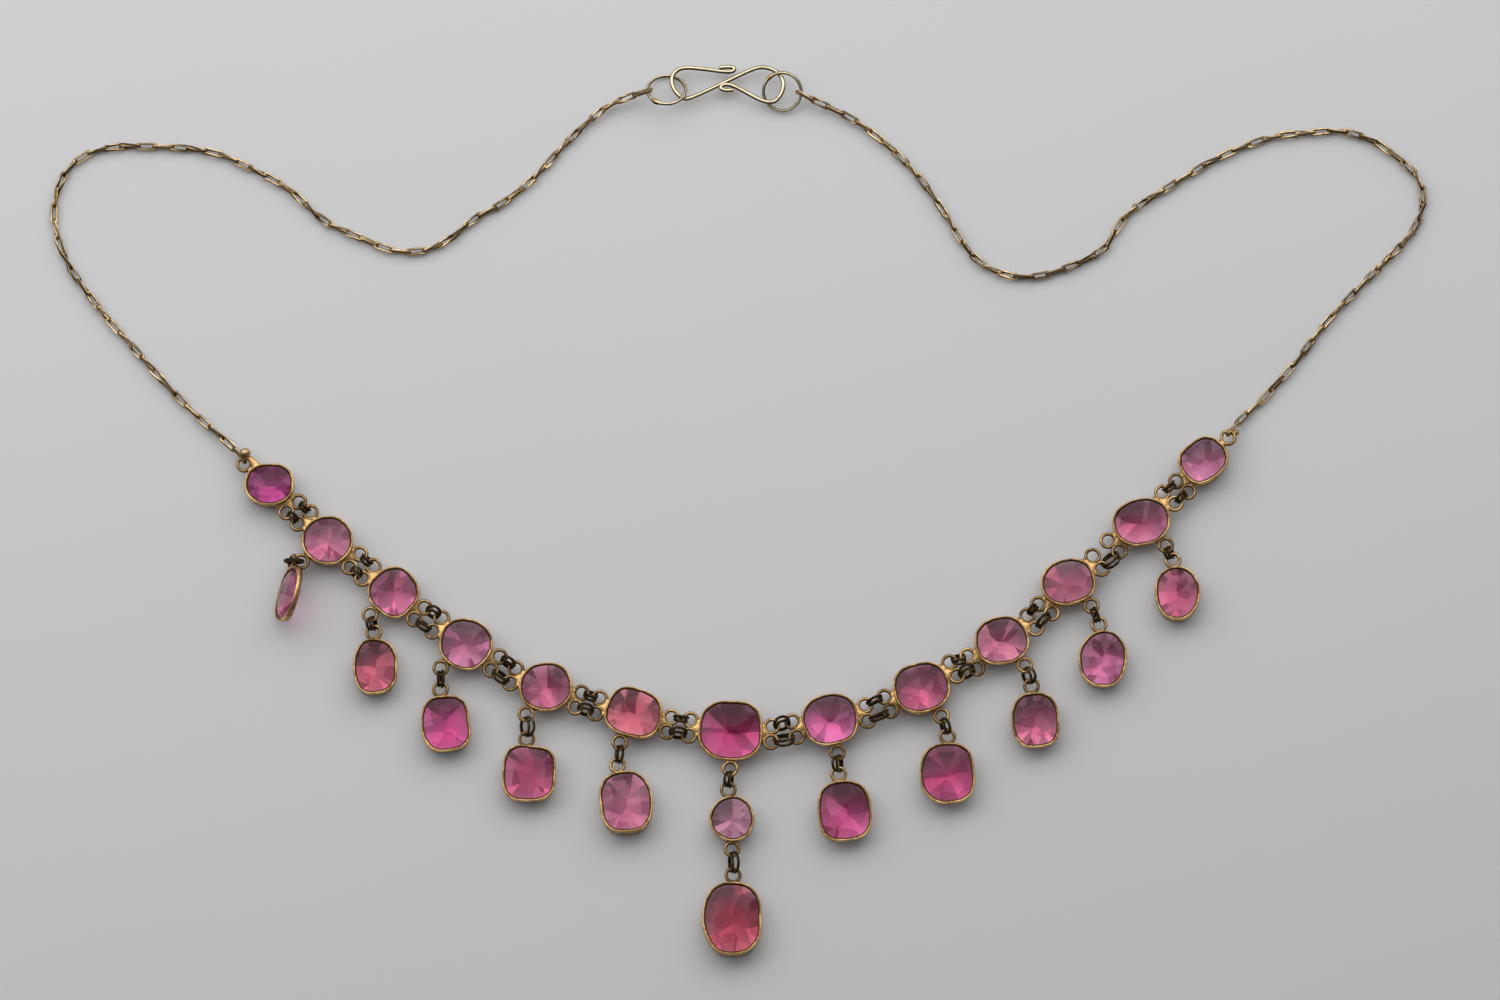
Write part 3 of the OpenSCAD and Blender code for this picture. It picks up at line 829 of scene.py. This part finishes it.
def cut_stone(name, stone, look, seed, cut, shadow=1.0):
    """A cushion stone, ground facet by facet: crown, stars and girdle, then the pavilion."""
    slot, kept, painted_north_shade = look
    rng = random.Random(seed)
    blank = Blank(stone)
    count = cut.count
    start = stone.turn + rng.choice((0, 180 / count))
    first_star = start + 180 / count
    first_small = start + 90 / count

    def at_outline(width):
        return width

    def pavilion_slope(width):
        return min(PAVILION_MOST, math.degrees(math.atan2(PAVILION_H - GIRDLE_T, CULET_IN * width)))

    mean = (blank.width(stone.turn) + blank.width(stone.turn + 90)) / 2
    rise = math.tan(math.radians(cut.star_slope))
    star = BEVEL + mean * STAR_IN * math.tan(math.radians(CROWN_SLOPE))
    blank.facet(0, 0, 0, star + cut.star_share * mean * rise)
    blank.ring(count, start, rng, lambda w: CROWN_SLOPE, at_outline, BEVEL)
    blank.ring(
        count, first_star, rng, lambda w: cut.star_slope, lambda w: (1 - STAR_IN) * w, star, cut.uneven)
    blank.ring(
        2 * count, first_small, rng, lambda w: CROWN_SLOPE + CROWN_MORE, at_outline, GIRDLE_T / 2)
    blank.ring(count, start, rng, pavilion_slope, at_outline, -GIRDLE_T, cut.uneven)
    blank.ring(
        2 * count, first_small, rng, lambda w: pavilion_slope(w) + PAVILION_MORE, at_outline, -GIRDLE_T / 2)
    bmesh.ops.bevel(
        blank.mesh, geom=blank.mesh.edges[:], offset=EDGE_WEAR, segments=1, profile=0.5,
        affect="EDGES", clamp_overlap=True)
    shape = Shape()
    place = placed(stone)
    blank.mesh.verts.index_update()
    for vert in blank.mesh.verts:
        shape.put(place @ vert.co)
    for face in blank.mesh.faces:
        shape.faces.append(tuple(vert.index for vert in face.verts))
        shape.painted_facet_lights.append(painted_facet_light_of(face, mean, painted_north_shade, rng))
    blank.mesh.free()
    glass = gem(f"gem_{name}", kept, seed, shadow)
    shape.piece(f"gem_{name}", glass, name, smooth=False)


# Settings

# Height of the wall's foot above the surface, and how much more at the north side
FOOT_UP = 0.05
NORTH_FOOT_UP = 0.55
# Round the wall from its foot: how far out, how high or, below 0, how much of its depth, and how much grime
# and painted shade: darkest under the lip and inside, dark at the foot, lighter down the outer side and
# lightest on the crest
WALL_PROFILE = (
    (0.08, -0.98, 0.9), (0.16, -1.0, 0.8), (0.21, -0.96, 0.6), (0.31, -0.50, 0.45),
    (0.385, -0.10, 0.45), (0.395, 0.06, 0.4), (0.380, 0.18, 0.25), (0.345, 0.265, 0.05),
    (0.295, 0.310, 0.0), (0.240, 0.310, 0.1), (0.190, 0.28, 0.45), (0.13, 0.235, 0.65),
    (0.07, 0.20, 1.0), (0.0, 0.155, 1.1), (0.07, 0.12, 1.0), (0.20, 0.10, 1.0),
    (0.22, -0.10, 0.9), (0.14, -0.50, 0.9),
)
# The part of it that is the lip
LIP_FROM = 9
LIP_TO = 14
# The ends of the turned drop's wall, as for wall()
TURNED_WALL = (0.98, 0.33)

# How oval a lug may be, how grimy all over, and how round its wire is
LUG_STEPS = 40
LUG_OVAL = 0.02
LUG_DULL = (0.2, 0.5)
LUG_ROUNDNESS = 0.9

# Pads of solder: how fast they narrow, the share of them that is rounded off, and how far in they start
PAD_ROWS = 9
PAD_SIDES = 16
PAD_FLARE = 1.7
PAD_END = 0.2
PAD_IN = 0.14
PAD_GRIME = 0.10
# Half widths and half heights of the pad under a lug and of the web between two
LUG_PAD = ((0.85, 0.36), (0.34, 0.18))
WEB_PAD = ((1.2, 0.10), (0.36, 0.15))
# How much solder shows on the pads of lugs that share a web, and of others
SHARED_SOLDER = 0.9
LONE_SOLDER = 0.5
# Lugs closer together than this share a web
LUGS_APART = 3
# The broad strip of solder beside the first lug, and how much higher it lies than the lug
BAND_WAY = 126
BAND_UP = 0.1
BAND_SPANS = ((2.6, 4.35), (0.62, 0.36), (0.34, 0.3))
BAND_SOLDER = 0.35


def foot_depth(stone, angle):
    """How deep below the girdle the wall's foot is, a little above the surface."""
    half = reach(stone, WALL_OUT, angle)
    down = half * cosd(angle - stone.lean_way) * sind(stone.lean)
    up = FOOT_UP + NORTH_FOOT_UP * max(0, sind(angle))
    return (girdle_height(stone) - up - down) / cosd(stone.lean)


def wall(shape, stone, place, rng, ends):
    """The open-backed wall, whose lip is rubbed over the stone's edge by hand and wavers.

    ends are its depths where the stone leans down and up, or None for all that there is room for."""
    lip = waves(rng, (3, 5, 8, 13, 17), 0.05)
    outside = waves(rng, (2, 3, 5, 9), 0.018)
    height = waves(rng, (2, 4, 7, 11), 0.022)
    dirt = waves(rng, (3, 7, 12), 0.25)
    rows = []
    for angle in all_round(WALL_STEPS):
        if ends:
            depth = ends[0] + (ends[1] - ends[0]) * (0.5 - 0.5 * cosd(angle - stone.lean_way))
        else:
            depth = foot_depth(stone, angle)
        row = []
        for k, (out, up, grime_and_shade) in enumerate(WALL_PROFILE):
            waver = lip(angle) if LIP_FROM <= k <= LIP_TO else outside(angle)
            if 0 < up and k < LIP_TO:
                level = up + height(angle)
            else:
                level = up * depth if up < 0 else up
            radius = reach(stone, out + waver, angle)
            row.append(shape.put(place @ polar(radius, angle, level), grime_and_shade + dirt(angle) * 0.4))
        rows.append(row)
    shape.loft(rows, True)


def pad(shape, place, angle, z, spans, rng, solder=1.0):
    """Solder that ran from the wall outwards in a direction.

    spans are how far out it starts and ends, its half width at both ends, and its half heights."""
    (start, end), (wide, narrow), (thick, thin) = spans
    outward, side = polar(1, angle, 0), polar(1, angle + 90, 0)
    rows = []
    for i in range(PAD_ROWS + 1):
        share = i / PAD_ROWS
        flare = (1 - share) ** PAD_FLARE
        rounding = max(0, (share - (1 - PAD_END)) / PAD_END)
        round_end = math.sqrt(max(0.02, 1 - rounding ** 2))
        half_w = (narrow + (wide - narrow) * flare) * round_end
        half_h = (thin + (thick - thin) * flare) * round_end
        middle = outward * (start + (end - start) * share)
        row = []
        for j in range(PAD_SIDES):
            turn = 2 * math.pi * j / PAD_SIDES
            spot = middle + side * half_w * math.cos(turn) * (1 + rng.uniform(-0.04, 0.04))
            spot.z = z + half_h * math.sin(turn) * (1 + rng.uniform(-0.08, 0.08))
            row.append(shape.put(place @ spot, PAD_GRIME, solder))
        rows.append(row)
    shape.loft(rows)
    shape.faces.append(tuple(reversed(rows[0])))
    shape.faces.append(tuple(rows[-1]))


def lug(shape, stone, place, at, rng, solder):
    """A ring of wire, soldered to the wall."""
    angle = math.degrees(math.atan2(at.y, at.x))
    oval = rng.uniform(-LUG_OVAL, LUG_OVAL)
    ring = [at + polar(LUG_R * (1 + oval * cosd(2 * a - angle)), a, 0) for a in all_round(LUG_STEPS)]
    dull = rng.uniform(*LUG_DULL)

    def wear_and_shade(share, inward):
        near = cosd(360 * share - angle - 180)
        # Grime all over, painted shade on the ring's inside, and solder towards the wall
        return dull + 0.5 * max(0, inward) ** 2, max(0, near - 0.5)

    half = LUG_WIRE / 2
    shape.wire(ring, lambda s: (half, half, LUG_ROUNDNESS), wear_and_shade, place, sides=10, painted_side_shade=0.55)
    inner = math.hypot(at.x, at.y) - LUG_R + 0.1
    start = reach(stone, WALL_OUT - PAD_IN, angle)
    pad(shape, place, angle, at.z, ((start, inner), *LUG_PAD), rng, solder)


def web(shape, stone, place, first, second, rng):
    """Solder that fills the space between two lugs and the wall."""
    middle = (first + second) / 2
    angle = math.degrees(math.atan2(middle.y, middle.x))
    start = reach(stone, WALL_OUT - PAD_IN, angle)
    end = math.hypot(middle.x, middle.y) + 0.05
    pad(shape, place, angle, middle.z, ((start, end), *WEB_PAD), rng)


def setting(name, stone, lugs, seed, ends=None, band=None):
    """Wall, lugs and solder. ends is as for wall(), and band the direction of a broad strip of solder."""
    rng = random.Random(seed)
    shape = Shape()
    place = placed(stone)
    wall(shape, stone, place, rng, ends)
    for at in lugs:
        shared = len(lugs) > 1 and at is not lugs[-1]
        lug(shape, stone, place, at, rng, SHARED_SOLDER if shared else LONE_SOLDER)
    if band:
        pad(shape, place, band, lugs[0].z + BAND_UP, BAND_SPANS, rng, BAND_SOLDER)
    for first, second in zip(lugs, lugs[1:]):
        if (second - first).length < LUGS_APART:
            web(shape, stone, place, first, second, rng)
    shape.piece(f"{name}_gold", SETTING_GOLD, name)


# Jump rings

RING_STEPS = 44
# Half the gap between a ring's ends, in degrees, and how oval it is
RING_GAP = 2.5
RING_OVAL = 0.015
# How grimy a ring is all over, and how much painted shade it has on its inside and on the wire's sides
RING_GRIME = 0.4
RING_INSIDE_SHADE = 0.45
RING_PAINTED_SIDE_SHADE = 0.4
# The two turns of a jump ring: the side that each lies to and its size, as shares
RING_TURNS = ((-0.5, 1.0), (0.5, 0.9))
TURN_WIRE = RING_WIRE * 0.8
TURNS_APART = RING_WIRE * 0.9
# The angle between the two turns
TURNS_SPREAD = 14
# How far up the middle of a ring's wire stays at least, as a share of its thickness
RING_CLEAR = 0.6


def bent_ring(shape, place, radius, wire, rng):
    """A ring bent from wire, its ends butted together."""
    start = rng.uniform(0, 360)
    path = []
    for i in range(RING_STEPS + 1):
        angle = start + RING_GAP + (360 - 2 * RING_GAP) * i / RING_STEPS
        path.append(polar(radius * (1 + RING_OVAL * sind(2 * angle + start)), angle, 0))

    def wear_and_shade(share, inward):
        # Grime all over, and painted shade on the ring's inside
        return RING_GRIME + RING_INSIDE_SHADE * max(0, inward), 0

    half = wire / 2
    shape.wire(path, lambda s: (half, half, 1), wear_and_shade, place, sides=12, painted_side_shade=RING_PAINTED_SIDE_SHADE, closed=False)


def jump_ring(shape, a, b, roll, rng):
    """A ring of two turns through two lugs with middles a and b, rolled about the line between them."""
    across = b - a
    radius = max(RING_LEAST, across.length / 2 - RING_IN)
    room = (a.z + b.z) / 2 - RING_CLEAR * RING_WIRE
    least = math.degrees(math.acos(min(1, room / radius)))
    rolled = 90 + math.copysign(max(abs(roll), least), roll)
    place = Matrix.Translation((a + b) / 2) @ turned(across, rolled)
    for side, size in RING_TURNS:
        apart = Matrix.Translation((0, 0, side * TURNS_APART)) @ spun(side * TURNS_SPREAD, "X")
        bent_ring(shape, place @ apart, radius * size, TURN_WIRE, rng)


def row_rings():
    rng = random.Random(ROW_RING_SEED)
    shape = Shape()
    for i in range(len(ROW) - 1):
        for k in (0, 1):
            if i == LOST_RING_AFTER and k == 0:
                continue
            a = placed(ROW[i]) @ row_lug(i, LEFT_LUGS + k)
            b = placed(ROW[i + 1]) @ row_lug(i + 1, k)
            jump_ring(shape, a, b, RING_ROLL * sind(97 * i + 160 * k + 40), rng)
    shape.piece("row_jump_rings", RING_GOLD, "row_rings")


def drop_rings():
    rng = random.Random(DROP_RING_SEED)
    shape = Shape()
    for i in range(len(DROPS)):
        if i in (MIDDLE_DROP, TURNED_DROP):
            continue
        a = placed(ROW[i + 1]) @ row_lug(i + 1, BOTTOM_LUG)
        jump_ring(shape, a, placed(DROPS[i]) @ drop_lug(i), RING_ROLL * sind(77 * i + 30), rng)
    middle_row = MIDDLE_DROP + 1
    hung = placed(ROW[middle_row]) @ row_lug(middle_row, BOTTOM_LUG)
    top, foot = (placed(ROUND_STONE) @ round_lug(k) for k in (0, 1))
    jump_ring(shape, hung, top, RING_ROLL / 2, rng)
    jump_ring(shape, foot, placed(DROPS[MIDDLE_DROP]) @ drop_lug(MIDDLE_DROP), -RING_ROLL / 2, rng)
    x, y, z, way, radius = TURNED_RING
    place = Matrix.Translation(laid(x, y, z)) @ (spun(way, "Z") @ spun(90, "X"))
    bent_ring(shape, place, radius, RING_WIRE, rng)
    shape.piece("drop_jump_rings", RING_GOLD, "drop_rings")


# Chains

CORNER_R = 0.28
CORNER_STEPS = 4
LINK_ROUNDNESS = 0.85
# How much thicker the wire may be at a link's soldered end, and how grimy a link may be all over
LINK_SWELL = (0.3, 0.75)
LINK_DULL = (0.0, 0.3)
# Where a link's wire starts to swell, from its middle, within what length, and where solder shows
SWELL_FROM = 0.7
SWELL_LENGTH = 0.6
SOLDER_FROM = 0.9
LINK_SOLDER = 0.45
# The lump of solder at each chain's end: its middle as for laid(), and its radii
LEFT_LUMP = ((-59.35, 6.6, 1.4), (0.66, 0.66, 0.55))
RIGHT_LUMP = ((59.4, 9.0, 1.5), (0.5, 0.45, 0.42))


def link_path():
    """The middle line of a link's wire: a long rectangle with rounded corners."""
    half_l = (LINK_LEN - LINK_WIRE) / 2
    half_w = (LINK_W - LINK_WIRE) / 2
    path = []
    for quarter in range(4):
        sx = 1 if quarter in (0, 3) else -1
        sy = 1 if quarter in (0, 1) else -1
        middle = Vector((sx * (half_l - CORNER_R), sy * (half_w - CORNER_R), 0))
        for i in range(CORNER_STEPS + 1):
            angle = 90 * quarter + 90 * i / CORNER_STEPS
            path.append(middle + polar(CORNER_R, angle, 0))
        if quarter in (0, 2):
            x = (half_l - CORNER_R) * sx
            path += [Vector((x * part, sy * half_w, 0)) for part in (0.5, 0, -0.5)]
    return path


LINK_PATH = link_path()


def link(shape, place, rng):
    """A link of flattened wire, soldered at one end, where the wire is thicker."""
    swell = rng.uniform(*LINK_SWELL)
    end = rng.choice((-1, 1))
    dull = rng.uniform(*LINK_DULL)
    count = len(LINK_PATH)

    def from_middle(share):
        """How far along the link a share of its wire is, towards the soldered end."""
        return LINK_PATH[round(share * count) % count].x * end

    def section(share):
        lump = swell * max(0, (from_middle(share) - SWELL_FROM) / SWELL_LENGTH) ** 2
        return LINK_WIRE / 2 * (1 + 0.6 * lump), LINK_DEPTH / 2 * (1 + 0.6 * lump), LINK_ROUNDNESS

    def wear_and_shade(share, inward):
        # Grime, painted shade on the link's inside, and solder at its soldered end
        return dull + max(0, inward) ** 2, LINK_SOLDER if from_middle(share) > SOLDER_FROM else 0

    turn = rng.uniform(-LINK_TWIST, LINK_TWIST)

    def twist(spot):
        angle = turn * spot.x / (LINK_LEN / 2)
        return Vector((
            spot.x,
            spot.y * cosd(angle) - spot.z * sind(angle),
            spot.y * sind(angle) + spot.z * cosd(angle),
        ))

    shape.wire(LINK_PATH, section, wear_and_shade, place, sides=8, painted_side_shade=0.7, twist=twist)


def chain(name, node, route, links, twist, lump, seed):
    """Links end to end along a route, each turned about a quarter from the last.

    twist is the turn of the last link to meet the clasp ring, and lump the solder at the end stone."""
    rng = random.Random(seed)
    shape = Shape()
    path = corner_cut([laid(*p) for p in route])
    length = sum((b - a).length for a, b in zip(path, path[1:]))
    pitch = length / links
    for i in range(links):
        a = along(path, i * pitch)
        b = along(path, (i + 1) * pitch)
        wander = WANDER * sind(67 * i) + WANDER / 2 * sind(151 * i)
        end_turn = twist * max(0, i + 1 + TWIST_LINKS - links) / TWIST_LINKS
        roll = 90 + 90 * (i % 2) + wander + end_turn
        link(shape, Matrix.Translation((a + b) / 2) @ turned(b - a, roll), rng)
    place, radii = lump
    shape.lump(laid(*place), radii, rng, solder=0.1, grime_and_shade=0.42)
    shape.piece(name, CHAIN_GOLD, node)


# Clasp

EYE_STEPS = 96
HOOK_SMOOTHING = 3
# Height of the waves in the thickness of the clasp's wires
CLASP_WAVES = 0.012


def hook():
    """One wire bent to an S, both of its ends curled back."""
    path = [laid(x, y, HOOK_Z) for x, y in HOOK_PATH]
    for _ in range(HOOK_SMOOTHING):
        path = corner_cut(path)
    shape = Shape()
    uneven = waves(random.Random(HOOK_SEED), (3, 7, 12), CLASP_WAVES)

    def section(share):
        half = HOOK_WIRE / 2 + uneven(share * 360)
        return half, half, 1

    def wear_and_shade(share, inward):
        # Painted shade on the inside of the bends; the wire's sides get more
        return 0.25 * max(0, inward), 0

    shape.wire(path, section, wear_and_shade, Matrix.Identity(4), sides=16, painted_side_shade=1.1, closed=False)
    shape.piece("s_hook", CLASP_GOLD, "hook")


def clasp_ring(name, node, eye, seam, lump):
    """A ring of wire whose seam, in the direction seam, is filled with a lump of solder.

    lump is how much thicker the wire is there, as a share."""
    rng = random.Random(seam)
    shape = Shape()
    axis = Vector((sind(eye.high), -cosd(eye.high), 0))
    place = Matrix.Translation(laid(eye.x, eye.y, eye.z)) @ spun(eye.tilt, axis)
    radius = (EYE_W - EYE_WIRE) / 2
    path = [polar(radius, seam + a, 0) for a in all_round(EYE_STEPS)]
    wobble = waves(rng, (2, 5, 9), CLASP_WAVES)

    def near_seam(share, width):
        """1 at the seam, and 0 at this many degrees from it."""
        away = min(share, 1 - share) * 360
        return max(0, 1 - away / width) ** 1.5

    def section(share):
        half = EYE_WIRE / 2 + wobble(share * 360)
        return half * (1 + lump * near_seam(share, 26)), half * (1 + 0.8 * lump * near_seam(share, 18)), 1

    def wear_and_shade(share, inward):
        # Grime, painted shade on the ring's inside, and solder at the seam
        return 0.12 + 0.45 * max(0, inward), 0.9 * near_seam(share, 20)

    shape.wire(path, section, wear_and_shade, place, sides=14, painted_side_shade=0.8)
    shape.piece(name, CLASP_GOLD, node)


# The scene

# Half the floor's length, in metres
FLOOR_HALF = 2.5
# The camera: what it looks at in millimetres, how far off it is in metres, and its lens
AIM = (1.35, 1.215, 0)
DISTANCE = 1.5
LENS = 300
# The window: place and size in metres, and power in watts
WINDOW_AT = (-0.04, 0.16, 0.22)
WINDOW_SIZE = (0.8, 0.27)
WINDOW_WATTS = 0.72
# Brightness of the room in the south and north, and how far to these sides it changes
ROOM_DIM = 0.11
ROOM_BRIGHT = 0.46
ROOM_RISE = 0.7
ROOM_COLOUR = (0.97, 0.98, 1.0)


def stage():
    """The floor under the necklace."""
    size = FLOOR_HALF
    mesh = bpy.data.meshes.new("floor")
    corners = [(-size, -size, 0), (size, -size, 0), (size, size, 0), (-size, size, 0)]
    mesh.from_pydata(corners, [], [(0, 1, 2, 3)])
    mesh.materials.append(paper("floor"))
    floor = shown("floor", mesh)


def camera():
    """The photo's view: nearly from above, a little from the side of the drops."""
    data = bpy.data.cameras.new("camera")
    data.sensor_width = 36
    data.lens = LENS
    data.clip_end = 20
    eye = shown("camera", data)
    eye.location = Vector(AIM) * MM + Vector((0, -sind(SLANT), cosd(SLANT))) * DISTANCE
    eye.rotation_euler = (math.radians(SLANT), 0, 0)
    bpy.context.scene.camera = eye


def lights():
    """A wide soft window in the north, and a room darker in the south."""
    room = Finish(bpy.data.worlds.new("room"))
    direction = room.add("ShaderNodeTexCoord", output="Generated")
    north = room.add("ShaderNodeSeparateXYZ", None, {0: direction}, output="Y")
    strength = room.step(north, -ROOM_RISE, ROOM_RISE, ROOM_DIM, ROOM_BRIGHT)
    glow = room.add("ShaderNodeBackground", None, {"Color": ROOM_COLOUR, "Strength": strength})
    bpy.context.scene.world = room.done(Surface=glow)
    bpy.context.scene.view_settings.view_transform = "Standard"
    data = bpy.data.lights.new("window", "AREA")
    data.shape = "RECTANGLE"
    data.size, data.size_y = WINDOW_SIZE
    data.energy = WINDOW_WATTS
    window = shown("window", data)
    window.location = WINDOW_AT
    window.rotation_mode = "QUATERNION"
    window.rotation_quaternion = (-Vector(WINDOW_AT)).to_track_quat("-Z", "Y")
    window.visible_camera = False


camera()
stage()
lights()

for i, (stone, look) in enumerate(zip(ROW, ROW_GEMS)):
    cut = FEW if i + 1 in FEW_FACETS else MANY
    cut_stone(f"stone_{i + 1}", stone, look, ROW_STONE_SEED + i, cut)
    lugs = [row_lug(i, k) for k, way in enumerate(ROW_LUGS[i]) if way is not None]
    setting(f"setting_{i + 1}", stone, lugs, ROW_SETTING_SEED + i, band=None if i else BAND_WAY)
for i, (stone, look) in enumerate(zip(DROPS, DROP_GEMS)):
    cut = FEW if i + 1 in FEW_DROPS else MANY
    shadow = TURNED_SHADOW if i == TURNED_DROP else 1.0
    cut_stone(f"drop_stone_{i + 1}", stone, look, DROP_STONE_SEED + i, cut, shadow)
    ends = TURNED_WALL if i == TURNED_DROP else None
    setting(f"drop_setting_{i + 1}", stone, [drop_lug(i)], DROP_SETTING_SEED + i, ends)
cut_stone("round_stone", ROUND_STONE, ROUND_GEM, ROUND_SEED, MANY)
setting("round_setting", ROUND_STONE, [round_lug(0), round_lug(1)], ROUND_SEED + 1)
row_rings()
drop_rings()
chain("left_chain", "chain_left", LEFT_ROUTE, LEFT_LINKS, LEFT_TWIST, LEFT_LUMP, seed=61)
chain("right_chain", "chain_right", RIGHT_ROUTE, RIGHT_LINKS, RIGHT_TWIST, RIGHT_LUMP, seed=62)
hook()
clasp_ring("left_clasp_ring", "eye_left", LEFT_EYE, seam=235, lump=0.9)
clasp_ring("right_clasp_ring", "eye_right", RIGHT_EYE, seam=130, lump=0.5)
